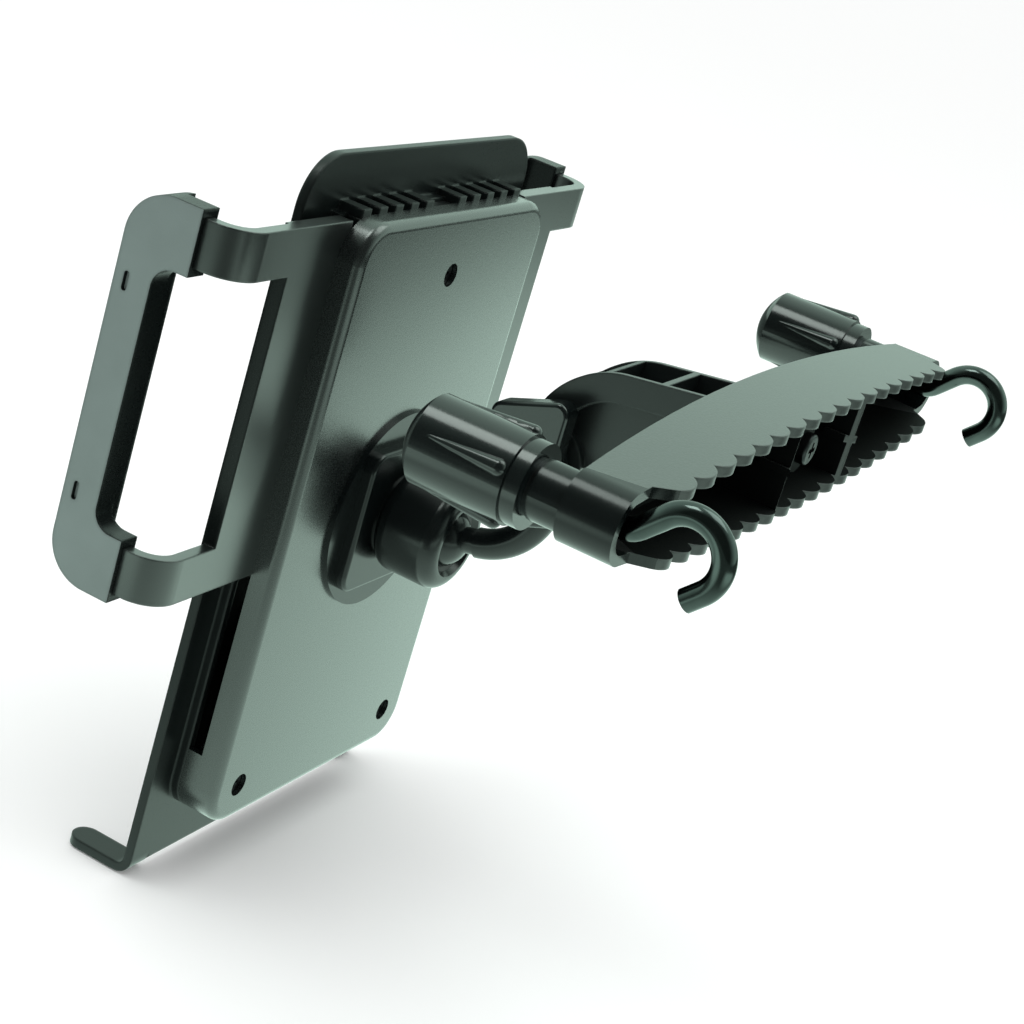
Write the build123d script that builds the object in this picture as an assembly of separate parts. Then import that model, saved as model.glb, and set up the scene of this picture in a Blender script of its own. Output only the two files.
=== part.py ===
"""Headrest tablet mount: a two-hook clamp bar, a gooseneck arm with a ball joint, and a tablet cradle.

Millimetres. X runs along the clamp bar, +Y points to the seat back, -Y to the tablet, +Z is up.
The origin is midway between the two hook axes, in the plane of the bar's scalloped jaw.
Left is -X and right is +X, as seen by the person who looks at the tablet.
"""
import math
import os

from build123d import *

# Fits
RUN_FIT = 0.05          # radial clearance of a shaft that turns or slides in its hole
SIDE_FIT = 0.1          # clearance on each side of a flat piece that turns in a slot
SOCKET_FIT = 0.15       # clearance round a piece that sits in a pocket

# Clamp bar
HOOK_PITCH = 202.0      # between the two hook axes
BAR_END_H = 16.0        # height at the ends, also the diameter of the end bosses
BAR_MID_H = 24.4        # height at the middle
BAR_MID_DEPTH = 22.0    # from the jaw plane to the front face at the middle
BAR_END_DEPTH = 18.5    # from the jaw plane to the front face at the hook axes
BAR_WALL = 2.4
MOUTH_SETBACK = 5.8     # the open mouth at the bar's ends lies this far inside the jaw plane
MOUTH_SIDE = 2.0        # room beside the rod before the mouth's edge rises to the teeth
TOOTH_PITCH = 10.4
TOOTH_R = 6.5
TOOTH_COUNT = 18
TOOTH_DEPTH = 2.6
NECK_D = 13.2           # stepped neck that the knob bears on
NECK_END = 26.0         # from the jaw plane to the neck's end face
RIB_X = 22.3
RIB_T = 1.4
RIB_SETBACK = 0.8       # from the jaw plane to the inner ribs' edges
TAB_H = 1.8
TAB_W = 3.4
TAB_LENGTH = 9.0
HUB_D = 13.0            # central boss that takes the arm's spigot
HUB_SETBACK = 6.0
HUB_FLOOR = 2.5
SPIGOT_D = 8.0
ARM_SCREW_D = 4.0
ARM_SCREW_HEAD_D = 8.0
ARM_SCREW_HEAD_H = 2.4
ARM_SCREW_LENGTH = 16.0
CROSS_SLOT = 0.14       # half width of a cross recess's slots, as a share of its width

# Hooks
ROD_D = 5.2
HOOK_R = 8.2            # centreline radius of the hook
HOOK_CENTRE_Y = 6.4     # the hook's centre, on the rod's axis
NECK_BEND_R = 5.0
NECK_ANGLE = 45.0
HOOK_SWEEP = 180.0
TIP_LENGTH = 4.0
ROD_INNER_END = 46.0    # from the jaw plane to the rod's end inside the knob

# Clamp knobs
KNOB_D = 19.8
KNOB_WALL = 2.2
KNOB_LENGTH = 25.2      # without the domed cap
KNOB_BAND = 3.6         # reduced band at the open end
KNOB_BAND_STEP = 0.6
KNOB_HUB_LENGTH = 10.0  # solid hub that holds the brass insert
INSERT_D = 9.0
INSERT_LENGTH = 9.0
WASHER_T = 1.0
WASHER_D = 12.4
CAP_DOME = 4.2
CAP_PLUG = 2.5
FIN_COUNT = 4
FIN_TURN = 68.0         # turn of the first fin from upright, degrees
FIN_LENGTH = 17.0
FIN_R = 1.9
FIN_TIP_R = 0.5
FIN_SINK = 0.5          # a fin's axis lies this far under the knob's surface
FIN_START = 5.6         # centre of a fin's round end, from the knob's open end

# Gooseneck arm and knuckle
ARM_W = 22.8
ARM_TOP_Z = 6.4         # top of the arm at the bar
ARM_ROOT_H = 17.5
ARM_DROP = 4.0          # fall of the arm's top from the bar to the bend
ARM_BEND_Y = -48.6      # where the outer bend starts
ARM_GUSSET_Y = -28.0    # from here the underside slopes down to the knuckle
ARM_RIM = 7.4           # height of the rim band on the arm's sides
ARM_RECESS = 2.0        # depth of the side face inside the rim
ARM_WALL = 1.6
POCKET_DEPTH = 5.2
ARM_RIB_T = 1.8
ARM_RIBS = (-39.5, -54.0)
POCKET_END_Y = -63.0
PIVOT_Y = -62.0
PIVOT_Z = -25.0
EYE_R = 7.2             # knuckle radius of the fork and of the stem's eye
FORK_GAP = 1.0          # room round the stem's eye at the root of the fork
STEM_EYE_T = 9.0
BOLT_D = 5.0
BOLT_HEAD_AF = 8.0
BOLT_HEAD_H = 3.5
WING_LENGTH = 30.5      # tip to tip
WING_WIDTH = 23.0       # across a wing's outer end
WING_WAIST = 12.0
WING_CORNER = 3.0
WING_EDGE = 1.0
WING_T = 6.0
WING_LEAN = 20.0        # turn of the wings from upright, degrees
WING_HUB_D = 13.0
WING_HUB_H = 2.5
WING_INSERT_D = 7.5
WING_INSERT_LENGTH = 6.5
PIVOT_WASHER_T = 0.8
PIVOT_WASHER_D = 11.0

# Ball joint
BALL_Y = -88.5
BALL_TO_COVER = 17.1    # from the ball's centre to the cover's rear face
BALL_Z = -59.3
BALL_R = 8.5
SEAT_T = 1.2            # thickness of the ball seat and of the clamp ring
STEM_D = 8.0
STEM_NECK_D = 6.8
STEM_NECK_LENGTH = 11.5 # from the ball's centre to the full stem
STEM_RISE = 12.0        # the stem leaves the ball at this angle above the socket's axis, degrees
SEAT_ANGLE = 62.0       # the front seat covers this angle from the ball's front pole
RING_FROM = 100.0       # the clamp ring covers these angles from the ball's front pole
RING_TO = 118.0
SOCKET_WALL = 1.6
SOCKET_RIM = 0.6        # the socket ends this far before the ball's middle
NUT_D = 28.0
NUT_LENGTH = 18.5
NUT_BACK = 6.0          # from the ball's centre to the nut's open face
NUT_ROUND = 4.0
NUT_MOUTH_D = 19.2
PAD_D = 54.0
PAD_FLANGE_H = 1.2
PAD_BLOCK_W = 38.6      # square block on the pad
PAD_BLOCK_CORNER = 5.0
PAD_BLOCK_EDGE = 1.0
PAD_STEP_H = 3.2
FOOT_SCREW_R = 15.0     # pitch circle radius of the pad's screws
FOOT_SCREW_COUNT = 4
SMALL_SCREW_D = 3.0
SMALL_HEAD_D = 5.6
SMALL_HEAD_H = 1.9
FOOT_SCREW_BITE = 2.6   # reach into the pad

# Cradle
COVER_W = 95.0
COVER_TOP = 21.0
COVER_BOTTOM = -140.9
COVER_RIM = 10.8        # from the cover's rear face to its rim
SKIRT_TOP = -121.7      # the cover's walls reach down to the rim only below this
COVER_CORNER = 10.0
COVER_EDGE = 2.4
COVER_WALL = 2.0
POST_D = 8.6
COUNTERBORE_D = 6.2
COUNTERBORE_DEPTH = 3.3
TOP_SCREW_Z = 4.8
LOW_SCREW_Z = -130.4
LOW_SCREW_X = 36.7
PLATE_DEPTH = 6.6       # from the cover's rear face to the arm frame's
PLATE_T = 4.0
PLATE_W = 135.6
PLATE_TOP = 20.1
STRIP_LAP = 4.0         # the side arms reach this far into the plate
STRIP_T = 3.1
STRIP_H = 11.6          # height of a side arm
LOW_STRIP_TOP = -59.2
CRADLE_W = 181.8        # over the two side grips
STRIP_INSET = 1.5       # from the grips' outer face to the arms' outer face
STRIP_BEND_R = 9.0
TENON = 6.0             # the arms' reach into the grips
LEG_START = 10.9        # from the plate's rear face to the end of a grip's leg
GRIP_DEPTH = 18.4       # from the end of a leg to the grip's front
GRIP_BAR = 9.8          # depth of the grip's upright bar
GRIP_LIP = 9.2          # width of the upright bar, with its inward lip
GRIP_LEG_T = 6.2
GRIP_MARGIN = 2.0       # the legs stand this far above and below the arms
GRIP_CORNER = 11.0
GRIP_INNER_CORNER = 5.0
MARK_H = 4.6            # small slots in the grips' outer face
MARK_W = 1.4
MARK_DEPTH = 1.2
MARK_INSET = 22.0       # from the grip's top and bottom to the slots' centres
MARK_SETBACK = 3.3      # from the grip's front to the slots' centres
BACK_DEPTH = 13.4       # from the cover's rear face to the back plate's
BACK_T = 2.4
BACK_W = 113.0
BACK_H = 191.7          # with the feet
BACK_TOP = 34.0
BACK_CORNER = 13.0
BACK_EDGE = 0.8         # rounding of the back plate's lower edge
FOOT_DROP = 2.5         # the feet's underside lies this far below the plate's lower edge
LAND_WALL = 2.4         # wall of the land under the cover's rim
STEP_W = 88.0           # step on the back plate that bears on the arm frame
FOOT_W = 8.0
FOOT_REACH = 20.5       # from the back plate's rear face
FOOT_BEND_R = 4.5
FINGER_W = 3.8
FINGER_H = 2.4
FINGER_COUNT = 5
FINGER_PITCH = 7.6
FINGER_FIRST_X = 8.6

# Derived places
HALF_PITCH = HOOK_PITCH / 2
COVER_Y = BALL_Y - BALL_TO_COVER
RIM_Y = COVER_Y - COVER_RIM
PLATE_Y = COVER_Y - PLATE_DEPTH
PLATE_FRONT = PLATE_Y - PLATE_T
PLATE_BOTTOM = LOW_STRIP_TOP - STRIP_H
BACK_Y = COVER_Y - BACK_DEPTH
BACK_FRONT = BACK_Y - BACK_T
BACK_BOTTOM = BACK_TOP - BACK_H
SCREW_END = BACK_Y - BACK_T / 2
LEG_Y = PLATE_Y - LEG_START
GRIP_FRONT = LEG_Y - GRIP_DEPTH
KNOB_FACE = -NECK_END - WASHER_T
KNOB_END = KNOB_FACE - KNOB_LENGTH
SEAT_R = BALL_R + RUN_FIT
SOCKET_R = SEAT_R + SEAT_T + RUN_FIT
THREAD_R = SOCKET_R + SOCKET_WALL
ROD_HOLE_R = ROD_D / 2 + RUN_FIT
BOLT_HOLE_R = BOLT_D / 2 + RUN_FIT
SIDES = (("left", -1), ("right", 1))
STRIP_TOPS = (PLATE_TOP, LOW_STRIP_TOP)
COVER_MIDDLE = (COVER_TOP + COVER_BOTTOM) / 2
COVER_SCREWS = ((0, TOP_SCREW_Z), (-LOW_SCREW_X, LOW_SCREW_Z), (LOW_SCREW_X, LOW_SCREW_Z))


def y_bar(x, z, radius, y_from, y_to):
    """Round bar along Y."""
    return Pos(x, (y_from + y_to) / 2, z) * Rot(90, 0, 0) * Cylinder(radius, abs(y_to - y_from))


def x_bar(y, z, radius, x_from, x_to):
    """Round bar along X."""
    return Pos((x_from + x_to) / 2, y, z) * Rot(0, 90, 0) * Cylinder(radius, abs(x_to - x_from))


def block(x_from, x_to, y_from, y_to, z_from, z_to):
    """Box between two corners."""
    size = Box(abs(x_to - x_from), abs(y_to - y_from), abs(z_to - z_from))
    return Pos((x_from + x_to) / 2, (y_from + y_to) / 2, (z_from + z_to) / 2) * size


def front_plane(y, z=0):
    """Sketch plane that faces the tablet: its x is X and its y is Z."""
    return Plane(origin=(0, y, z), x_dir=(1, 0, 0), z_dir=(0, -1, 0))


# Clamp bar

def bar_elevation(inset):
    """Lens outline of the bar seen from the seat, as a bar along Y."""
    end = BAR_END_H / 2 - inset
    middle = BAR_MID_H / 2 - inset
    top = ThreePointArc((-HALF_PITCH, end), (0, middle), (HALF_PITCH, end))
    right = ThreePointArc((HALF_PITCH, end), (HALF_PITCH + end, 0), (HALF_PITCH, -end))
    bottom = ThreePointArc((HALF_PITCH, -end), (0, -middle), (-HALF_PITCH, -end))
    left = ThreePointArc((-HALF_PITCH, -end), (-HALF_PITCH - end, 0), (-HALF_PITCH, end))
    outline = make_face([top, right, bottom, left])
    return extrude(front_plane(BAR_END_H) * outline, amount=BAR_END_H + 2 * BAR_MID_DEPTH)


def bar_plan(inset, rear):
    """Bowed outline of the bar seen from above, open or closed at the given rear line."""
    reach = HALF_PITCH + BAR_END_H
    end = -BAR_END_DEPTH + inset
    bow = ThreePointArc((-HALF_PITCH, end), (0, -BAR_MID_DEPTH + inset), (HALF_PITCH, end))
    sides = Polyline((HALF_PITCH, end), (reach, end), *rear, (-reach, end), (-HALF_PITCH, end))
    return make_face([bow, *sides.edges()])


def bar_solid():
    """The bar before it is hollowed, with its scalloped rear edge."""
    reach = HALF_PITCH + BAR_END_H
    row = TOOTH_PITCH * TOOTH_COUNT / 2
    mouth = HALF_PITCH - ROD_D / 2 - MOUTH_SIDE
    lip = ((reach, -MOUTH_SETBACK), (mouth, -MOUTH_SETBACK), (row, -TOOTH_DEPTH))
    rear = (*lip, *[(-x, y) for x, y in reversed(lip)])
    plan = bar_plan(0, rear)
    for index in range(TOOTH_COUNT):
        place = (index + 0.5) * TOOTH_PITCH - row
        plan += Pos(place, -TOOTH_R) * Circle(TOOTH_R)
    return bar_elevation(0) & extrude(plan, amount=BAR_MID_H, both=True)


def clamp_bar():
    """Moulded bar: scalloped jaw, two inner ribs, hub for the arm and a stepped neck at each hook."""
    reach = HALF_PITCH + BAR_END_H
    open_rear = ((reach, BAR_WALL), (-reach, BAR_WALL))
    room = bar_elevation(BAR_WALL) & extrude(bar_plan(BAR_WALL, open_rear), amount=BAR_MID_H, both=True)
    front = -BAR_MID_DEPTH
    ribs = y_bar(0, 0, HUB_D / 2, front + BAR_WALL / 2, -HUB_SETBACK)
    for side in (-1, 1):
        x = side * RIB_X
        ribs += block(x - RIB_T / 2, x + RIB_T / 2, front, -RIB_SETBACK, -BAR_MID_H, BAR_MID_H)
        tab_end = -RIB_SETBACK + TAB_H
        ribs += block(x - TAB_W / 2, x + TAB_W / 2, tab_end - TAB_LENGTH, tab_end, -TAB_H / 2, TAB_H / 2)
    outside = bar_solid()
    body = outside - room + (ribs & outside)
    for side in (-1, 1):
        body += y_bar(side * HALF_PITCH, 0, NECK_D / 2, -NECK_END, -BAR_END_DEPTH + BAR_WALL)
    for side in (-1, 1):
        body -= y_bar(side * HALF_PITCH, 0, ROD_HOLE_R, -NECK_END - 1, -BAR_END_DEPTH + BAR_WALL + 1)
    body -= y_bar(0, 0, SPIGOT_D / 2 + RUN_FIT, -BAR_MID_DEPTH - 1, -HUB_SETBACK - HUB_FLOOR)
    body -= y_bar(0, 0, ARM_SCREW_D / 2 + SOCKET_FIT, -BAR_MID_DEPTH, -HUB_SETBACK + 1)
    return body


# Hooks and clamp knobs

def hook(side):
    """Chromed rod: threaded shank on the knob's axis, swan neck and a half-round hook turned down."""
    centre = HOOK_R * 2 * math.sin(math.radians(NECK_ANGLE))
    corner = HOOK_CENTRE_Y - centre
    lead = NECK_BEND_R * math.tan(math.radians(NECK_ANGLE / 2))
    slope = HOOK_R * math.tan(math.radians(NECK_ANGLE)) - lead
    shank = Line((-ROD_INNER_END, 0), (corner - lead, 0))
    bend = JernArc(shank @ 1, shank % 1, NECK_BEND_R, NECK_ANGLE)
    neck = Line(bend @ 1, bend @ 1 + (bend % 1) * slope)
    bow = JernArc(neck @ 1, neck % 1, HOOK_R, -HOOK_SWEEP)
    tip = Line(bow @ 1, bow @ 1 + (bow % 1) * TIP_LENGTH)
    path = Plane.YZ * Wire([shank, bend, neck, bow, tip])
    section = Plane(origin=path @ 0, z_dir=path % 0) * Circle(ROD_D / 2)
    return Pos(side * HALF_PITCH, 0, 0) * sweep(section, path)


def knob_fins(axis_x):
    """Raised teardrop grips round a knob, the round end next to the bar."""
    fin_y = KNOB_FACE - FIN_START
    fin = Pos(0, fin_y - FIN_LENGTH / 2, 0) * Rot(90, 0, 0) * Cone(FIN_R, FIN_TIP_R, FIN_LENGTH)
    fin += Pos(0, fin_y, 0) * Sphere(FIN_R)
    fin = Pos(0, 0, KNOB_D / 2 - FIN_SINK) * fin
    turns = [FIN_TURN + index * 360 / FIN_COUNT for index in range(FIN_COUNT)]
    return [Pos(axis_x, 0, 0) * Rot(0, turn, 0) * fin for turn in turns]


def knob(side):
    """Hollow moulded knob with a stepped band, four teardrop grips and a hub for its insert."""
    x = side * HALF_PITCH
    radius = KNOB_D / 2
    band = KNOB_FACE - KNOB_BAND
    body = y_bar(x, 0, radius, KNOB_END, band)
    body += y_bar(x, 0, radius - KNOB_BAND_STEP, band, KNOB_FACE)
    for fin in knob_fins(x):
        body += fin
    hub = KNOB_FACE - KNOB_HUB_LENGTH
    body -= y_bar(x, 0, radius - KNOB_WALL, KNOB_END - 1, hub)
    body -= y_bar(x, 0, INSERT_D / 2, hub - 1, hub + INSERT_LENGTH)
    body -= y_bar(x, 0, ROD_D / 2 + SOCKET_FIT, hub, KNOB_FACE + 1)
    return body


def knob_insert(side):
    """Brass threaded insert in the knob's hub."""
    x = side * HALF_PITCH
    start = KNOB_FACE - KNOB_HUB_LENGTH
    ring = y_bar(x, 0, INSERT_D / 2, start, start + INSERT_LENGTH)
    return ring - y_bar(x, 0, ROD_HOLE_R, start - 1, start + INSERT_LENGTH + 1)


def knob_cap(side):
    """Domed cap that plugs the knob's outer end."""
    x = side * HALF_PITCH
    radius = KNOB_D / 2
    dome_r = (radius ** 2 + CAP_DOME ** 2) / (2 * CAP_DOME)
    dome = Pos(x, KNOB_END - CAP_DOME + dome_r, 0) * Sphere(dome_r)
    dome &= y_bar(x, 0, radius, KNOB_END - CAP_DOME, KNOB_END)
    plug = y_bar(x, 0, radius - KNOB_WALL, KNOB_END, KNOB_END + CAP_PLUG)
    return dome + plug


def knob_washer(side):
    """Flat washer between the knob and the bar's neck."""
    x = side * HALF_PITCH
    ring = y_bar(x, 0, WASHER_D / 2, KNOB_FACE, -NECK_END)
    return ring - y_bar(x, 0, ROD_HOLE_R, KNOB_FACE - 1, -NECK_END + 1)


# Gooseneck arm and knuckle

def arm_profile(inset):
    """Side outline of the arm in the YZ plane, its outer edge lowered by the inset."""
    root = -BAR_MID_DEPTH + BAR_WALL
    underside = ARM_TOP_Z - ARM_ROOT_H
    nose = PIVOT_Y - EYE_R + inset
    heel = PIVOT_Y + EYE_R
    top_z = ARM_TOP_Z - ARM_DROP - inset
    bend_end = top_z - (ARM_BEND_Y - nose)
    top = Line((root, ARM_TOP_Z - inset), (ARM_BEND_Y, top_z))
    bend = TangentArc((ARM_BEND_Y, top_z), (nose, bend_end), tangent=top % 1)
    front = Line((nose, bend_end), (nose, PIVOT_Z))
    eye = ThreePointArc((nose, PIVOT_Z), ((nose + heel) / 2, PIVOT_Z - EYE_R), (heel, PIVOT_Z))
    gusset = Polyline((heel, PIVOT_Z), (ARM_GUSSET_Y, underside), (root, underside), top @ 0)
    return Plane.YZ * make_face([top, bend, front, eye, *gusset.edges()])


def bolt_hex(room):
    """Hexagon of the pivot bolt's head, with room round it."""
    hexagon = RegularPolygon(BOLT_HEAD_AF / 2 + room, 6, major_radius=False)
    return Plane.YZ * Pos(PIVOT_Y, PIVOT_Z) * hexagon


def arm():
    """Gooseneck: forked knuckle, rim band round the sides and ribbed pockets along the outer edge."""
    half = ARM_W / 2
    body = extrude(arm_profile(0), amount=half, both=True)
    reach = ARM_W
    side_face = extrude(arm_profile(ARM_RIM), amount=reach, both=True)
    side_face -= extrude(arm_profile(ARM_RIM), amount=half - ARM_RECESS, both=True)
    side_face -= x_bar(PIVOT_Y, PIVOT_Z, EYE_R + ARM_RECESS, -reach, reach)
    body -= side_face
    channel = extrude(arm_profile(0) - arm_profile(POCKET_DEPTH), amount=half - ARM_WALL, both=True)
    channel &= block(-half, half, POCKET_END_Y, 0, PIVOT_Z, ARM_TOP_Z + 1)
    for rib in ARM_RIBS:
        channel -= block(-half, half, rib - ARM_RIB_T / 2, rib + ARM_RIB_T / 2, PIVOT_Z, ARM_TOP_Z + 1)
    body -= channel
    slot = STEM_EYE_T / 2 + SIDE_FIT
    body -= x_bar(PIVOT_Y, PIVOT_Z, EYE_R + FORK_GAP, -slot, slot)
    body -= x_bar(PIVOT_Y, PIVOT_Z, BOLT_HOLE_R, -reach, reach)
    body -= Pos(-half + BOLT_HEAD_H, 0, 0) * extrude(bolt_hex(RUN_FIT), amount=-reach)
    body -= bar_solid()
    body += y_bar(0, 0, SPIGOT_D / 2, -BAR_MID_DEPTH - BAR_WALL, -HUB_SETBACK - HUB_FLOOR)
    body -= y_bar(0, 0, ARM_SCREW_D / 2, -HUB_SETBACK - ARM_SCREW_LENGTH, 0)
    return body


def cross_recess(x, y, z, width):
    """Cross-shaped recess for a screw head that faces +Y."""
    long = width / 2
    thin = width * CROSS_SLOT
    level = block(x - long, x + long, y - thin, y + 1, z - thin, z + thin)
    upright = block(x - thin, x + thin, y - thin, y + 1, z - long, z + long)
    return level + upright


def arm_screw():
    """Cross-head screw that holds the arm's spigot in the bar's hub."""
    head = y_bar(0, 0, ARM_SCREW_HEAD_D / 2, -HUB_SETBACK, -HUB_SETBACK + ARM_SCREW_HEAD_H)
    head = fillet(head.faces().sort_by(Axis.Y)[-1].edges(), ARM_SCREW_HEAD_H / 3)
    head -= cross_recess(0, -HUB_SETBACK + ARM_SCREW_HEAD_H, 0, ARM_SCREW_HEAD_D / 2)
    return head + y_bar(0, 0, ARM_SCREW_D / 2, -HUB_SETBACK - ARM_SCREW_LENGTH, -HUB_SETBACK)


def wing_face():
    """Seat of the pivot washer on the arm's right cheek."""
    return ARM_W / 2


def pivot_bolt():
    """Hex bolt through the fork, its head in the left cheek."""
    end = wing_face() + PIVOT_WASHER_T + WING_HUB_H + WING_T / 2
    head = Pos(-ARM_W / 2, 0, 0) * extrude(bolt_hex(0), amount=BOLT_HEAD_H)
    return head + x_bar(PIVOT_Y, PIVOT_Z, BOLT_D / 2, -ARM_W / 2, end)


def pivot_washer():
    """Flat washer under the wing knob."""
    ring = x_bar(PIVOT_Y, PIVOT_Z, PIVOT_WASHER_D / 2, wing_face(), wing_face() + PIVOT_WASHER_T)
    return ring - x_bar(PIVOT_Y, PIVOT_Z, BOLT_HOLE_R, wing_face() - 1, wing_face() + PIVOT_WASHER_T + 1)


def wing_knob():
    """Bow-tie wing knob that locks the knuckle."""
    start = wing_face() + PIVOT_WASHER_T
    wide = WING_WIDTH / 2
    tall = WING_LENGTH / 2
    waist = WING_WAIST / 2
    points = [(-wide, tall), (wide, tall), (waist, 0), (wide, -tall), (-wide, -tall), (-waist, 0)]
    bow_tie = make_face(Polyline(*points, close=True).edges())
    bow_tie = fillet(bow_tie.vertices().filter_by(lambda v: abs(v.Y) > waist), WING_CORNER)
    wings = extrude(Plane.YZ * bow_tie, amount=WING_T)
    wings = fillet(wings.faces().sort_by(Axis.X)[-1].edges(), WING_EDGE)
    place = Pos(start + WING_HUB_H, PIVOT_Y, PIVOT_Z) * Rot(WING_LEAN, 0, 0)
    body = place * wings + x_bar(PIVOT_Y, PIVOT_Z, WING_HUB_D / 2, start, start + WING_HUB_H)
    return body - x_bar(PIVOT_Y, PIVOT_Z, WING_INSERT_D / 2, start - 1, start + WING_INSERT_LENGTH)


def wing_insert():
    """Brass insert in the wing knob."""
    start = wing_face() + PIVOT_WASHER_T
    end = start + WING_INSERT_LENGTH
    ring = x_bar(PIVOT_Y, PIVOT_Z, WING_INSERT_D / 2, start, end)
    return ring - x_bar(PIVOT_Y, PIVOT_Z, BOLT_HOLE_R, start - 1, end + 1)


# Ball joint

def ball_stem():
    """Ball, narrow neck, elbow tube and the knuckle's eye in one piece."""
    slope = math.radians(STEM_RISE)
    neck_y = BALL_Y + STEM_NECK_LENGTH * math.cos(slope)
    neck_z = BALL_Z + STEM_NECK_LENGTH * math.sin(slope)
    neck = Line((BALL_Y, BALL_Z), (neck_y, neck_z))
    bend_r = (PIVOT_Y - (neck @ 1).X) / (1 - math.sin(slope))
    bend = JernArc(neck @ 1, neck % 1, bend_r, 90 - STEM_RISE)
    rise = Line(bend @ 1, (PIVOT_Y, PIVOT_Z))
    path = Plane.YZ * Wire([bend, rise])
    tube = sweep(Plane(origin=path @ 0, z_dir=path % 0) * Circle(STEM_D / 2), path)
    core = Plane.YZ * Wire([neck])
    thin = sweep(Plane(origin=core @ 0, z_dir=core % 0) * Circle(STEM_NECK_D / 2), core)
    eye = x_bar(PIVOT_Y, PIVOT_Z, EYE_R, -STEM_EYE_T / 2, STEM_EYE_T / 2)
    ball = Pos(0, BALL_Y, BALL_Z) * Sphere(BALL_R)
    return tube + eye + ball + thin - x_bar(PIVOT_Y, PIVOT_Z, BOLT_HOLE_R, -STEM_EYE_T, STEM_EYE_T)


def ball_zone(angle_from, angle_to):
    """Spherical shell round the ball between two angles from its front pole."""
    inner = SEAT_R
    outer = SEAT_R + SEAT_T

    def point(radius, angle):
        return (radius * math.sin(math.radians(angle)), -radius * math.cos(math.radians(angle)))

    middle = (angle_from + angle_to) / 2
    edges = [
        ThreePointArc(point(outer, angle_from), point(outer, middle), point(outer, angle_to)),
        Line(point(outer, angle_to), point(inner, angle_to)),
        ThreePointArc(point(inner, angle_to), point(inner, middle), point(inner, angle_from)),
        Line(point(inner, angle_from), point(outer, angle_from)),
    ]
    return Pos(0, BALL_Y, BALL_Z) * revolve(make_face(edges), Axis.Y)


def ball_seat():
    """Seat cup in front of the ball."""
    return ball_zone(0, SEAT_ANGLE)


def clamp_ring():
    """Ring behind the ball that the nut presses on it."""
    return ball_zone(RING_FROM, RING_TO)


def foot_screw_places():
    """Places of the pad's screws, as (X, Z)."""
    step = 2 * math.pi / FOOT_SCREW_COUNT
    angles = [(index + 0.5) * step for index in range(FOOT_SCREW_COUNT)]
    return [(FOOT_SCREW_R * math.cos(a), BALL_Z + FOOT_SCREW_R * math.sin(a)) for a in angles]


def socket_foot():
    """Round pad with a square block and the threaded socket cup."""
    step = COVER_Y + PAD_FLANGE_H
    top = step + PAD_STEP_H
    outline = RectangleRounded(PAD_BLOCK_W, PAD_BLOCK_W, PAD_BLOCK_CORNER)
    raised = extrude(front_plane(top, BALL_Z) * outline, amount=PAD_STEP_H)
    raised = fillet(raised.faces().sort_by(Axis.Y)[-1].edges(), PAD_BLOCK_EDGE)
    body = y_bar(0, BALL_Z, PAD_D / 2, COVER_Y, step) + raised
    body += y_bar(0, BALL_Z, THREAD_R, top, BALL_Y - SOCKET_RIM)
    body -= Pos(0, BALL_Y, BALL_Z) * Sphere(SOCKET_R)
    for x, z in foot_screw_places():
        body -= y_bar(x, z, SMALL_SCREW_D / 2, COVER_Y - 1, COVER_Y + FOOT_SCREW_BITE)
    return body


def ring_nut():
    """Barrel-shaped nut over the socket, with a flared mouth for the stem."""
    back = BALL_Y + NUT_BACK
    front = back - NUT_LENGTH
    barrel = y_bar(0, BALL_Z, NUT_D / 2, front, back)
    barrel = fillet(barrel.edges().filter_by(GeomType.CIRCLE), NUT_ROUND)
    barrel -= y_bar(0, BALL_Z, THREAD_R + RUN_FIT, front - 1, BALL_Y - SOCKET_RIM + RUN_FIT)
    barrel -= Pos(0, BALL_Y, BALL_Z) * Sphere(SOCKET_R)
    throat_y = -SOCKET_R * math.cos(math.radians(RING_TO))
    throat_r = SOCKET_R * math.sin(math.radians(RING_TO))
    flare = NUT_BACK - throat_y
    cone = Rot(-90, 0, 0) * Cone(throat_r, NUT_MOUTH_D / 2, flare)
    return barrel - Pos(0, BALL_Y + throat_y + flare / 2, BALL_Z) * cone


def foot_screws():
    """Screws from inside the cover into the pad."""
    seat = COVER_Y - COVER_WALL
    screws = []
    for x, z in foot_screw_places():
        head = y_bar(x, z, SMALL_HEAD_D / 2, seat - SMALL_HEAD_H, seat)
        screws.append(head + y_bar(x, z, SMALL_SCREW_D / 2, seat, COVER_Y + FOOT_SCREW_BITE))
    return Compound(children=[screw.solid() for screw in screws])


# Cradle

def cover_outline(inset):
    """Outline of the cover, made smaller by the inset."""
    height = COVER_TOP - COVER_BOTTOM
    return RectangleRounded(COVER_W - 2 * inset, height - 2 * inset, COVER_CORNER - inset)


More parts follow.
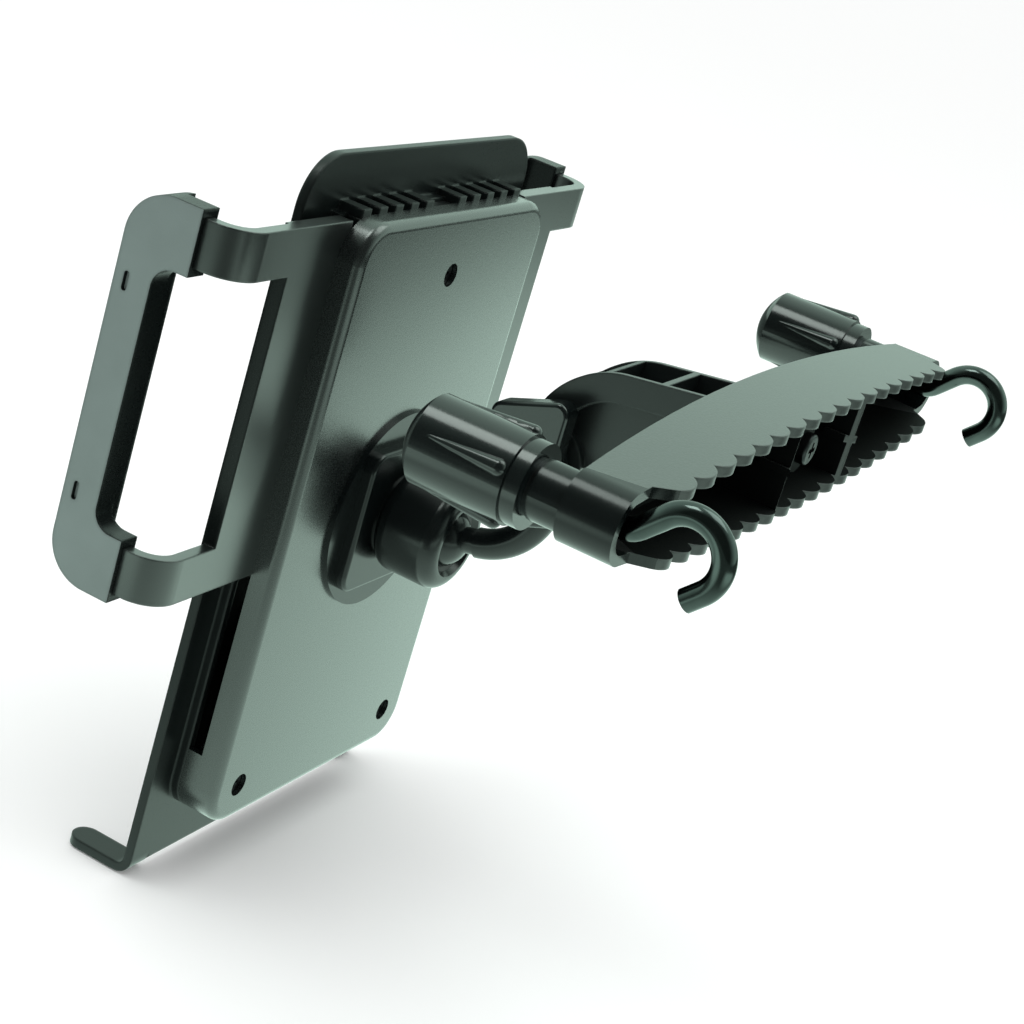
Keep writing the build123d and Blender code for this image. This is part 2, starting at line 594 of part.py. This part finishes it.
def rear_cover():
    """Moulded cover with rounded edges, open along its sides for the arm frame, held by three screws."""
    body = extrude(front_plane(COVER_Y, COVER_MIDDLE) * cover_outline(0), amount=COVER_RIM)
    body = fillet(body.faces().sort_by(Axis.Y)[-1].edges(), COVER_EDGE)
    inner_plane = front_plane(COVER_Y - COVER_WALL, COVER_MIDDLE)
    body -= extrude(inner_plane * cover_outline(COVER_WALL), amount=COVER_RIM)
    body -= block(-COVER_W, COVER_W, PLATE_Y, RIM_Y - 1, SKIRT_TOP, COVER_TOP + 1)
    for x, z in COVER_SCREWS:
        foot = RIM_Y if z < SKIRT_TOP else PLATE_Y
        body += y_bar(x, z, POST_D / 2, COVER_Y - COVER_WALL, foot)
        body -= y_bar(x, z, COUNTERBORE_D / 2, COVER_Y - COUNTERBORE_DEPTH, COVER_Y + 1)
        body -= y_bar(x, z, SMALL_SCREW_D / 2 + SOCKET_FIT, foot - 1, COVER_Y)
    for x, z in foot_screw_places():
        body -= y_bar(x, z, SMALL_SCREW_D / 2 + SOCKET_FIT, PLATE_Y, COVER_Y + 1)
    return body


def cover_screws():
    """Three screws that hold the rear cover and the arm frame on the back plate."""
    seat = COVER_Y - COUNTERBORE_DEPTH
    screws = []
    for x, z in COVER_SCREWS:
        head = y_bar(x, z, SMALL_HEAD_D / 2, seat, seat + SMALL_HEAD_H)
        head -= cross_recess(x, seat + SMALL_HEAD_H, z, SMALL_HEAD_D / 2)
        screws.append(head + y_bar(x, z, SMALL_SCREW_D / 2, SCREW_END, seat))
    return Compound(children=[screw.solid() for screw in screws])


def side_strip(side, top):
    """One side arm: out from the plate, round the bend and forward into the grip."""
    outer = CRADLE_W / 2 - STRIP_INSET
    inner = outer - STRIP_T
    start = PLATE_W / 2 - STRIP_LAP
    bend = outer - STRIP_BEND_R
    turn = PLATE_Y - STRIP_BEND_R
    end = LEG_Y - TENON
    small = STRIP_BEND_R - STRIP_T
    out = Line((start, PLATE_Y), (bend, PLATE_Y))
    outside = JernArc(out @ 1, out % 1, STRIP_BEND_R, -90)
    loop = Polyline(outside @ 1, (outer, end), (inner, end), (inner, turn))
    inside = JernArc(loop @ 1, loop % 1, small, 90)
    back = Polyline(inside @ 1, (start, PLATE_Y - STRIP_T), (start, PLATE_Y))
    face = make_face([out, outside, *loop.edges(), inside, *back.edges()])
    strip = Pos(0, 0, top - STRIP_H) * extrude(face, amount=STRIP_H)
    return strip if side > 0 else mirror(strip, about=Plane.YZ)


def corner_foot(side):
    """Narrow foot that bends forward from the back plate's corner and holds the tablet's lower edge."""
    outer = BACK_W / 2
    end = BACK_Y - FOOT_REACH
    turn = BACK_BOTTOM + FOOT_BEND_R
    root = turn + BACK_T
    upper = BACK_BOTTOM + BACK_T
    drop = Line((BACK_Y, root), (BACK_Y, turn))
    outside = JernArc(drop @ 1, drop % 1, FOOT_BEND_R, -90)
    run = Polyline(outside @ 1, (end, BACK_BOTTOM), (end, upper), (BACK_Y - FOOT_BEND_R, upper))
    inside = JernArc(run @ 1, run % 1, FOOT_BEND_R - BACK_T, 90)
    back = Polyline(inside @ 1, (BACK_FRONT, root), (BACK_Y, root))
    face = make_face([drop, outside, *run.edges(), inside, *back.edges()])
    strip = Pos(outer - FOOT_W, 0, 0) * extrude(Plane.YZ * face, amount=FOOT_W)
    ends = strip.edges().filter_by(Axis.Z).group_by(Axis.Y)[0]
    strip = fillet(ends, FOOT_W / 2 - SIDE_FIT)
    return strip if side > 0 else mirror(strip, about=Plane.YZ)


def finger_places():
    """X of each finger on the back plate, both groups."""
    places = [FINGER_FIRST_X + index * FINGER_PITCH for index in range(FINGER_COUNT)]
    return [side * x for side in (-1, 1) for x in places]


def cradle_frame():
    """Arm frame: a plate with two bent arms each side and a notched top edge."""
    half = PLATE_W / 2
    body = block(-half, half, PLATE_Y, PLATE_FRONT, PLATE_BOTTOM, PLATE_TOP)
    for _, side in SIDES:
        for top in STRIP_TOPS:
            body += side_strip(side, top)
    notch_floor = PLATE_TOP - FINGER_H
    for x in finger_places():
        left = x + math.copysign(FINGER_PITCH / 2, x) - FINGER_W / 2
        body -= block(left, left + FINGER_W, PLATE_Y + 1, PLATE_FRONT - 1, notch_floor, PLATE_TOP + 1)
    return body - y_bar(0, TOP_SCREW_Z, SMALL_SCREW_D / 2 + SOCKET_FIT, PLATE_FRONT - 1, PLATE_Y + 1)


def back_plate():
    """Plate behind the tablet, with feet at the bottom and a land and fingers for the arm frame."""
    half = BACK_W / 2
    low = BACK_BOTTOM + FOOT_DROP
    corners = ((-half, BACK_TOP), (half, BACK_TOP), (half, low), (-half, low))
    outline = make_face(Polyline(*corners, close=True).edges())
    outline = fillet(outline.vertices().group_by(Axis.Y)[-1], BACK_CORNER)
    body = extrude(front_plane(BACK_Y) * outline, amount=BACK_T)
    lower_edge = body.edges().filter_by(Axis.X).group_by(Axis.Z)[0].sort_by(Axis.Y)[-1]
    body = fillet(lower_edge, BACK_EDGE)
    for _, side in SIDES:
        inside = side * (half - FOOT_W)
        outside = side * (half + 1)
        corner_top = BACK_BOTTOM + FOOT_BEND_R
        body -= block(inside, outside, BACK_Y + 1, BACK_FRONT - 1, BACK_BOTTOM - 1, corner_top)
        body += corner_foot(side)
    land = cover_outline(0) - cover_outline(LAND_WALL)
    body += extrude(front_plane(RIM_Y, COVER_MIDDLE) * land, amount=RIM_Y - SCREW_END)
    body += block(-STEP_W / 2, STEP_W / 2, PLATE_FRONT, BACK_Y, TOP_SCREW_Z + SMALL_SCREW_D, PLATE_TOP)
    for x, z in COVER_SCREWS:
        boss_top = RIM_Y if z < SKIRT_TOP else PLATE_FRONT
        body += y_bar(x, z, POST_D / 2, SCREW_END, boss_top)
        body -= y_bar(x, z, SMALL_SCREW_D / 2, SCREW_END, boss_top + 1)
    for x in finger_places():
        body += block(x - FINGER_W / 2, x + FINGER_W / 2, PLATE_Y, BACK_Y, PLATE_TOP, PLATE_TOP + FINGER_H)
    return body


def grip_outline(leg_y, front_y, low_z, high_z, corner):
    """Rectangle in the YZ plane with its two front corners rounded."""
    corners = ((leg_y, high_z), (front_y, high_z), (front_y, low_z), (leg_y, low_z))
    outline = make_face(Polyline(*corners, close=True).edges())
    return fillet(outline.vertices().group_by(Axis.X)[0], corner)


def side_grip(side):
    """C-shaped grip on the two arms of one side, with a lip in front of the tablet."""
    outer = CRADLE_W / 2
    top = PLATE_TOP + GRIP_MARGIN
    bottom = LOW_STRIP_TOP - STRIP_H - GRIP_MARGIN
    bar_back = GRIP_FRONT + GRIP_BAR
    window_top = PLATE_TOP - STRIP_H - GRIP_MARGIN
    window_bottom = LOW_STRIP_TOP + GRIP_MARGIN
    outline = grip_outline(LEG_Y, GRIP_FRONT, bottom, top, GRIP_CORNER)
    window = grip_outline(LEG_Y + 1, bar_back, window_bottom, window_top, GRIP_INNER_CORNER)
    legs = extrude(Plane.YZ * (outline - window), amount=GRIP_LEG_T)
    lip_cut = block(-1, GRIP_LIP + 1, bar_back, LEG_Y + 1, bottom - 1, top + 1)
    lip = extrude(Plane.YZ * outline, amount=GRIP_LIP) - lip_cut
    body = Pos(outer - GRIP_LEG_T, 0, 0) * legs + Pos(outer - GRIP_LIP, 0, 0) * lip
    arm_out = outer - STRIP_INSET + SOCKET_FIT
    arm_in = outer - STRIP_INSET - STRIP_T - SOCKET_FIT
    for strip_top in STRIP_TOPS:
        low = strip_top - STRIP_H - SOCKET_FIT
        body -= block(arm_in, arm_out, LEG_Y - TENON, LEG_Y + 1, low, strip_top + SOCKET_FIT)
    mark = Rot(0, 0, 90) * SlotOverall(MARK_H, MARK_W)
    for z in (top - MARK_INSET, bottom + MARK_INSET):
        place = Plane.YZ * Pos(GRIP_FRONT + MARK_SETBACK, z)
        body -= Pos(outer - MARK_DEPTH, 0, 0) * extrude(place * mark, amount=MARK_DEPTH + 1)
    return body if side > 0 else mirror(body, about=Plane.YZ)


def build():
    """All nodes by name."""
    nodes = {
        "clamp_bar": clamp_bar(),
        "arm": arm(),
        "arm_screw": arm_screw(),
        "pivot_bolt": pivot_bolt(),
        "pivot_washer": pivot_washer(),
        "wing_knob": wing_knob(),
        "wing_insert": wing_insert(),
        "ball_stem": ball_stem(),
        "ball_seat": ball_seat(),
        "clamp_ring": clamp_ring(),
        "ring_nut": ring_nut(),
        "socket_foot": socket_foot(),
        "foot_screws": foot_screws(),
        "rear_cover": rear_cover(),
        "cover_screws": cover_screws(),
        "cradle_frame": cradle_frame(),
        "back_plate": back_plate(),
    }
    for name, side in SIDES:
        nodes["hook_" + name] = hook(side)
        nodes["knob_" + name] = knob(side)
        nodes["knob_insert_" + name] = knob_insert(side)
        nodes["knob_cap_" + name] = knob_cap(side)
        nodes["knob_washer_" + name] = knob_washer(side)
        nodes["side_grip_" + name] = side_grip(side)
    return nodes


os.makedirs("parts", exist_ok=True)
for node, shape in build().items():
    export_step(shape, f"parts/{node}.step")
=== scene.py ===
"""Looks of the headrest tablet mount: materials, soft edges, floor, light and the photo's camera."""
import math

import bpy
from mathutils import Matrix, Vector


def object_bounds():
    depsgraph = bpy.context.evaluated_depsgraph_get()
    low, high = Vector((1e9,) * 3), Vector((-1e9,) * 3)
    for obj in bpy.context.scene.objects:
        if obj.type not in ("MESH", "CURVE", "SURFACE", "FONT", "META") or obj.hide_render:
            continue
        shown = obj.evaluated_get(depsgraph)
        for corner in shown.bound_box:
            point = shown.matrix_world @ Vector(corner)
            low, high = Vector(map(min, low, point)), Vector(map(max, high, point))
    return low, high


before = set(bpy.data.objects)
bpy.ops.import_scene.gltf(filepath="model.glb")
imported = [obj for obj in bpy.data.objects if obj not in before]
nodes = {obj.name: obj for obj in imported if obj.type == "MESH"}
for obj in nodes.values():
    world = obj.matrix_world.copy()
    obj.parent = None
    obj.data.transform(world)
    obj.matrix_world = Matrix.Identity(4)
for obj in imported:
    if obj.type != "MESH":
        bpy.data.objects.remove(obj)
cad_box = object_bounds()
SIDES = ("left", "right")

# Camera of the photo, fitted to measured points (degrees, metres, pixels, millimetres of sensor)
CAMERA_AZIMUTH = 111.81
CAMERA_ELEVATION = 19.50
CAMERA_ROLL = 17.33
CAMERA_PLACE = (0.4948, 0.1270, 0.1432)
FOCAL_PIXELS = 2251.78
IMAGE_PIXELS = 1024
SENSOR = 36
CLIP_START = 0.01

# Detail that all the plastics share
MOTTLE_SCALE = 38.0
SMEAR_SCALE = 19.0
GLOSS_SPREAD = 0.03
GRAIN_DEPTH = 0.0001
COAT_SMOOTHER = 0.9
EDGE_SAMPLES = 4

# Limits of the faces with a finish of their own, with painted shade or with a painted sheen, in metres
BAR_NECK_X = 0.0925
BAR_BOSS_X = 0.0985
BAR_CHANNEL_Y = -0.003
GRIP_FACE_X = 0.088
FRAME_WINDOW_X = 0.075

# Floor and studio. Reflections see pools of light on the floor (centre, radii) and a room that dims
TINT = (0.74, 1.0, 0.87)
FLOOR_SIZE = 40
FLOOR_DROP = 0.0005
FLOOR_ROUGHNESS = 0.9
POOLS = (
    ((-0.30, -0.05), (0.80, 0.36)),
    ((0.42, -0.26), (0.30, 0.30)),
    ((0.15, 0.50), (0.45, 0.35)),
)
POOL_STRENGTH = 1.3
POOL_FADE = (0.45, 1.0)
BESIDE_POOLS = 0.12
ROOM_FADE = (0.45, 0.85)
DIM_SIDE = 0.06
LAMP_COLOUR = (0.88, 1.0, 0.94)

azimuth = math.radians(CAMERA_AZIMUTH)
elevation = math.radians(CAMERA_ELEVATION)
roll = math.radians(CAMERA_ROLL)
flat = math.cos(elevation)
to_camera = Vector((math.sin(azimuth) * flat, -math.cos(azimuth) * flat, math.sin(elevation)))


def new_material(name):
    """New node material, its tree and its shader."""
    mat = bpy.data.materials.new(name)
    mat.use_nodes = True
    return mat, mat.node_tree, mat.node_tree.nodes["Principled BSDF"]


def noise(tree, coords, scale, detail=3.0, rough=0.55):
    """Noise texture in object space."""
    node = tree.nodes.new("ShaderNodeTexNoise")
    node.inputs["Scale"].default_value = scale
    node.inputs["Detail"].default_value = detail
    node.inputs["Roughness"].default_value = rough
    tree.links.new(coords.outputs["Object"], node.inputs["Vector"])
    return node


def ramp(tree, source, low, high, start=0.35, end=0.65):
    """Colour ramp over a value."""
    node = tree.nodes.new("ShaderNodeValToRGB")
    node.color_ramp.elements[0].position = start
    node.color_ramp.elements[1].position = end
    node.color_ramp.elements[0].color = (*low, 1)
    node.color_ramp.elements[1].color = (*high, 1)
    tree.links.new(source, node.inputs["Fac"])
    return node


def grey(value):
    """The same value in all three channels."""
    return (value, value, value)


def dimmed(share):
    """The studio's tint at a share of its strength."""
    return [share * channel for channel in TINT]


def total(tree, first, second):
    """Sum of two values."""
    node = tree.nodes.new("ShaderNodeMath")
    node.operation = "ADD"
    tree.links.new(first, node.inputs[0])
    tree.links.new(second, node.inputs[1])
    return node.outputs["Value"]


def crown(tree, coords, radius):
    """Slight crown across a flat moulding, as a shading normal."""
    split = tree.nodes.new("ShaderNodeSeparateXYZ")
    tree.links.new(coords.outputs["Object"], split.inputs["Vector"])
    square = tree.nodes.new("ShaderNodeMath")
    square.operation = "MULTIPLY"
    tree.links.new(split.outputs["X"], square.inputs[0])
    tree.links.new(split.outputs["X"], square.inputs[1])
    sag = tree.nodes.new("ShaderNodeMath")
    sag.operation = "MULTIPLY"
    sag.inputs[1].default_value = -0.5 / radius
    tree.links.new(square.outputs["Value"], sag.inputs[0])
    dome = tree.nodes.new("ShaderNodeBump")
    dome.inputs["Distance"].default_value = 1.0
    tree.links.new(sag.outputs["Value"], dome.inputs["Height"])
    return dome


def soft_edges(tree, radius):
    """Rounded edges, as a shading normal."""
    rounded = tree.nodes.new("ShaderNodeBevel")
    rounded.samples = EDGE_SAMPLES
    rounded.inputs["Radius"].default_value = radius
    return rounded


def plastic(name, dark, light, rough, grain, bump, specular, coat, smears=0.03, crown_radius=None,
            edge_radius=None):
    """Moulded plastic: mottled colour, spark-eroded grain, smears in the gloss, and a crown or soft edges."""
    mat, tree, shader = new_material(name)
    coords = tree.nodes.new("ShaderNodeTexCoord")
    cloud = noise(tree, coords, MOTTLE_SCALE)
    colour = ramp(tree, cloud.outputs["Fac"], dark, light)
    tree.links.new(colour.outputs["Color"], shader.inputs["Base Color"])
    fine = noise(tree, coords, grain, detail=2.0, rough=0.7)
    gloss = ramp(tree, fine.outputs["Fac"], grey(rough - GLOSS_SPREAD), grey(rough + GLOSS_SPREAD), 0.3, 0.7)
    smear = noise(tree, coords, SMEAR_SCALE, detail=4.0, rough=0.5)
    stain = ramp(tree, smear.outputs["Fac"], grey(0.0), grey(smears), 0.4, 0.8)
    roughness = total(tree, gloss.outputs["Color"], stain.outputs["Color"])
    tree.links.new(roughness, shader.inputs["Roughness"])
    relief = tree.nodes.new("ShaderNodeBump")
    relief.inputs["Strength"].default_value = bump
    relief.inputs["Distance"].default_value = GRAIN_DEPTH
    tree.links.new(fine.outputs["Fac"], relief.inputs["Height"])
    if crown_radius:
        tree.links.new(crown(tree, coords, crown_radius).outputs["Normal"], relief.inputs["Normal"])
    if edge_radius:
        tree.links.new(soft_edges(tree, edge_radius).outputs["Normal"], relief.inputs["Normal"])
    tree.links.new(relief.outputs["Normal"], shader.inputs["Normal"])
    tree.links.new(relief.outputs["Normal"], shader.inputs["Coat Normal"])
    shader.inputs["Specular IOR Level"].default_value = specular
    shader.inputs["Coat Weight"].default_value = coat
    shader.inputs["Coat Roughness"].default_value = rough * COAT_SMOOTHER
    return mat


def metal(name, dark, light, rough_low, rough_high, grain):
    """Metal with slight stains and uneven polish."""
    mat, tree, shader = new_material(name)
    coords = tree.nodes.new("ShaderNodeTexCoord")
    cloud = noise(tree, coords, grain)
    colour = ramp(tree, cloud.outputs["Fac"], dark, light)
    tree.links.new(colour.outputs["Color"], shader.inputs["Base Color"])
    gloss = ramp(tree, cloud.outputs["Fac"], grey(rough_low), grey(rough_high))
    tree.links.new(gloss.outputs["Color"], shader.inputs["Roughness"])
    shader.inputs["Metallic"].default_value = 1.0
    return mat


cover_black = plastic(
    "cover_black", (0.0025, 0.0042, 0.0040), (0.0040, 0.0065, 0.0062),
    rough=0.27, grain=2600.0, bump=0.14, specular=1.0, coat=1.0, smears=0.015, crown_radius=0.80)
plate_black = plastic(
    "plate_black", (0.0025, 0.0042, 0.0040), (0.0040, 0.0065, 0.0062),
    rough=0.30, grain=2600.0, bump=0.20, specular=0.4, coat=0.04, edge_radius=0.0010)
frame_black = plastic(
    "frame_black", (0.0030, 0.0050, 0.0047), (0.0045, 0.0072, 0.0068),
    rough=0.30, grain=2200.0, bump=0.15, specular=1.0, coat=1.0, edge_radius=0.0006)
bar_black = plastic(
    "bar_black", (0.0040, 0.0065, 0.0060), (0.0058, 0.0090, 0.0084),
    rough=0.42, grain=1500.0, bump=0.45, specular=1.0, coat=0.9, edge_radius=0.0007)
# Painted shade: a darker, duller copy of the bar's plastic for the inside of its channel, where shade falls
bar_painted_shade = plastic(
    "bar_painted_shade", (0.0010, 0.0016, 0.0016), (0.0016, 0.0024, 0.0024),
    rough=0.55, grain=1500.0, bump=0.20, specular=0.2, coat=0.0)
arm_black = plastic(
    "arm_black", (0.0040, 0.0065, 0.0062), (0.0058, 0.0092, 0.0088),
    rough=0.32, grain=1800.0, bump=0.08, specular=0.7, coat=0.2, edge_radius=0.0006)
satin = plastic(
    "satin_black", (0.0022, 0.0036, 0.0036), (0.0034, 0.0055, 0.0055),
    rough=0.16, grain=1800.0, bump=0.03, specular=0.7, coat=0.3)
joint = plastic(
    "joint_black", (0.0020, 0.0034, 0.0034), (0.0032, 0.0050, 0.0050),
    rough=0.20, grain=1800.0, bump=0.04, specular=0.5, coat=0.1)
grip_black = plastic(
    "grip_black", (0.0020, 0.0034, 0.0032), (0.0030, 0.0048, 0.0046),
    rough=0.28, grain=2200.0, bump=0.08, specular=0.3, coat=0.0, edge_radius=0.0012)
# Rougher, textured grip plastic, whose pale base colour is a painted sheen
grip_matte_painted_sheen = plastic(
    "grip_matte_painted_sheen", (0.1300, 0.1740, 0.1630), (0.1500, 0.2000, 0.1880),
    rough=0.46, grain=2200.0, bump=0.35, specular=0.8, coat=0.2, edge_radius=0.0012)
liner = plastic(
    "liner", grey(0.0300), grey(0.0420),
    rough=0.36, grain=1600.0, bump=0.10, specular=0.5, coat=0.0)
chrome = metal(
    "dark_chrome", (0.085, 0.100, 0.097), (0.110, 0.130, 0.125), rough_low=0.12, rough_high=0.18, grain=120.0)
steel = metal(
    "dark_steel", (0.050, 0.053, 0.055), (0.080, 0.083, 0.085), rough_low=0.30, rough_high=0.42, grain=300.0)
brass = metal(
    "brass", (0.55, 0.40, 0.16), (0.66, 0.50, 0.22), rough_low=0.24, rough_high=0.38, grain=260.0)

finish = {
    "clamp_bar": bar_black, "arm": arm_black, "arm_screw": steel,
    "pivot_bolt": steel, "pivot_washer": steel, "wing_knob": satin, "wing_insert": brass,
    "ball_stem": joint, "ball_seat": liner, "clamp_ring": liner, "ring_nut": joint,
    "socket_foot": joint, "foot_screws": steel, "rear_cover": cover_black, "cover_screws": steel,
    "cradle_frame": frame_black, "back_plate": plate_black,
}
for side in SIDES:
    finish["hook_" + side] = chrome
    finish["knob_" + side] = satin
    finish["knob_cap_" + side] = satin
    finish["knob_insert_" + side] = brass
    finish["knob_washer_" + side] = steel
    finish["side_grip_" + side] = grip_black


def paint(obj, mat, chosen):
    """Further material on the faces that are chosen by their centre and normal."""
    obj.data.materials.append(mat)
    for face in obj.data.polygons:
        if chosen(obj.matrix_world @ face.center, obj.matrix_world.to_3x3() @ face.normal):
            face.material_index = len(obj.data.materials) - 1


def end_of_bar(centre, normal):
    """Smooth necks and end bosses of the bar. The bar's flat top and bottom reach further out."""
    level = abs(normal.z) > 0.9
    return abs(centre.x) > (BAR_BOSS_X if level else BAR_NECK_X)


def painted_shade_in_bar(centre, normal):
    """Inner walls and floor of the bar's open channel, and its ribs, which get a darker, duller copy of the
    bar's plastic as painted shade.
    """
    wall = normal.z * centre.z < -0.2 * abs(centre.z)
    rib = abs(normal.x) > 0.8
    bottom = normal.y > 0.5 and centre.y < BAR_CHANNEL_Y
    return abs(centre.x) < BAR_NECK_X and (wall or rib or bottom)


def outer_grip_painted_sheen(centre, normal):
    """Textured outer face of a side grip, which gets a pale base colour as a painted sheen."""
    return normal.x * centre.x > 0.9 * abs(centre.x) and abs(centre.x) > GRIP_FACE_X


def painted_shade_in_frame_windows(centre, normal):
    """Side faces of the arm frame's windows, which get the darker, duller grip plastic as painted shade."""
    return abs(normal.x) > 0.7 and abs(centre.x) < FRAME_WINDOW_X


for name, obj in nodes.items():
    obj.data.materials.clear()
    obj.data.materials.append(finish[name])
# Painted shade on the side faces in the frame's windows
paint(nodes["cradle_frame"], grip_black, painted_shade_in_frame_windows)
# Painted shade inside the bar's channel
paint(nodes["clamp_bar"], bar_painted_shade, painted_shade_in_bar)
paint(nodes["clamp_bar"], joint, end_of_bar)
# Rougher textured outer faces of the grips, with a painted sheen in their pale colour
for side in SIDES:
    paint(nodes["side_grip_" + side], grip_matte_painted_sheen, outer_grip_painted_sheen)

# Floor: white and shadowed to the camera, pools of light in reflections
bpy.ops.mesh.primitive_plane_add(size=FLOOR_SIZE, location=(0, 0, cad_box[0][2] - FLOOR_DROP))
floor = bpy.context.object
floor.name = "floor"
floor_mat, tree, floor_shader = new_material("floor")
floor_shader.inputs["Base Color"].default_value = (1, 1, 1, 1)
floor_shader.inputs["Roughness"].default_value = FLOOR_ROUGHNESS
coords = tree.nodes.new("ShaderNodeTexCoord")
brightest = None
for centre, radii in POOLS:
    spread = tree.nodes.new("ShaderNodeMapping")
    spread.inputs["Location"].default_value = [-c / r for c, r in zip(centre, radii)] + [0]
    spread.inputs["Scale"].default_value = [1 / r for r in radii] + [0]
    tree.links.new(coords.outputs["Object"], spread.inputs["Vector"])
    distance = tree.nodes.new("ShaderNodeVectorMath")
    distance.operation = "LENGTH"
    tree.links.new(spread.outputs["Vector"], distance.inputs[0])
    pool = ramp(tree, distance.outputs["Value"], TINT, dimmed(BESIDE_POOLS), *POOL_FADE)
    larger = tree.nodes.new("ShaderNodeVectorMath")
    larger.operation = "MAXIMUM"
    tree.links.new(pool.outputs["Color"], larger.inputs[0])
    if brightest:
        tree.links.new(brightest.outputs["Vector"], larger.inputs[1])
    brightest = larger
glow = tree.nodes.new("ShaderNodeEmission")
glow.inputs["Strength"].default_value = POOL_STRENGTH
tree.links.new(brightest.outputs["Vector"], glow.inputs["Color"])
path = tree.nodes.new("ShaderNodeLightPath")
reflected = tree.nodes.new("ShaderNodeMixShader")
tree.links.new(path.outputs["Is Glossy Ray"], reflected.inputs["Fac"])
tree.links.new(floor_shader.outputs["BSDF"], reflected.inputs[1])
tree.links.new(glow.outputs["Emission"], reflected.inputs[2])
tree.links.new(reflected.outputs["Shader"], tree.nodes["Material Output"].inputs["Surface"])
floor.data.materials.append(floor_mat)

# Studio: white, but tinted in reflections and dimmer on the side that the photo was taken from
world = bpy.data.worlds.new("studio")
bpy.context.scene.world = world
world.use_nodes = True
tree = world.node_tree
tree.nodes.clear()
coords = tree.nodes.new("ShaderNodeTexCoord")
facing = tree.nodes.new("ShaderNodeVectorMath")
facing.operation = "DOT_PRODUCT"
facing.inputs[1].default_value = to_camera
tree.links.new(coords.outputs["Generated"], facing.inputs[0])
share = tree.nodes.new("ShaderNodeMapRange")
share.inputs["From Min"].default_value = -1.0
share.inputs["From Max"].default_value = 1.0
tree.links.new(facing.outputs["Value"], share.inputs["Value"])
room = ramp(tree, share.outputs["Result"], TINT, dimmed(DIM_SIDE), *ROOM_FADE)
soft = tree.nodes.new("ShaderNodeBackground")
tree.links.new(room.outputs["Color"], soft.inputs["Color"])
white = tree.nodes.new("ShaderNodeBackground")
white.inputs["Color"].default_value = (1, 1, 1, 1)
path = tree.nodes.new("ShaderNodeLightPath")
choose = tree.nodes.new("ShaderNodeMixShader")
out = tree.nodes.new("ShaderNodeOutputWorld")
tree.links.new(path.outputs["Is Glossy Ray"], choose.inputs["Fac"])
tree.links.new(white.outputs["Background"], choose.inputs[1])
tree.links.new(soft.outputs["Background"], choose.inputs[2])
tree.links.new(choose.outputs["Shader"], out.inputs["Surface"])


def area(name, place, target, size, power):
    """Soft box light, aimed at a point."""
    data = bpy.data.lights.new(name, "AREA")
    data.size = size
    data.energy = power
    data.color = LAMP_COLOUR
    lamp = bpy.data.objects.new(name, data)
    lamp.location = place
    lamp.rotation_euler = (Vector(target) - Vector(place)).to_track_quat("-Z", "Y").to_euler()
    bpy.context.collection.objects.link(lamp)


area("key", place=(-0.25, 0.20, 0.80), target=(0, -0.06, -0.03), size=0.6, power=2)
area("top", place=(0.22, -0.32, 0.75), target=(0.10, -0.04, 0), size=0.30, power=1.2)

camera_data = bpy.data.cameras.new("camera")
camera = bpy.data.objects.new("camera", camera_data)
bpy.context.collection.objects.link(camera)
camera_data.sensor_width = SENSOR
camera_data.lens = SENSOR * FOCAL_PIXELS / IMAGE_PIXELS
camera_data.clip_start = CLIP_START
level = Vector((0, 0, 1)).cross(to_camera).normalized()
rise = to_camera.cross(level)
right = math.cos(roll) * level + math.sin(roll) * rise
top = math.cos(roll) * rise - math.sin(roll) * level
turn = Matrix((right, top, to_camera)).transposed()
camera.matrix_world = Matrix.Translation(CAMERA_PLACE) @ turn.to_4x4()
scene = bpy.context.scene
scene.camera = camera
scene.view_settings.view_transform = "Standard"
